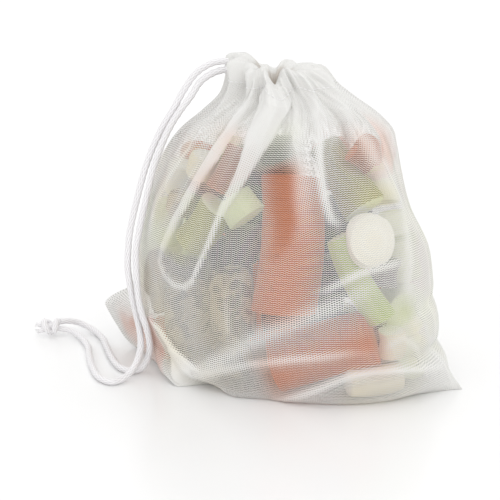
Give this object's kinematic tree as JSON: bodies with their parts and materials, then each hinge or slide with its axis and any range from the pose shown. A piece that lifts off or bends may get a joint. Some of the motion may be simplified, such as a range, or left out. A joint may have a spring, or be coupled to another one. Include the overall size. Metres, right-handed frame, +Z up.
{
  "type": "mesh bag",
  "caption": "White net drawstring bag filled with cut vegetables, gathered shut at the neck, with its knotted cord trailing beside it.",
  "frame": {"origin": "middle of the bag's own box, on the surface it stands on, without the cord and its knot", "axes": "+Z up from the base to the gathered neck; +X along the length of the loaded bag; -Y towards the side that faces the reader"},
  "size_m": [0.2242, 0.118, 0.1631],
  "materials": {
    "net": "fine off-white warp-knit net, half see-through",
    "cord": "matt white braided cord"
  },
  "bodies": {
    "root": {"net_bag": "net", "cord_a": "cord", "cord_b": "cord", "knot": "cord"}
  },
  "joints": []
}
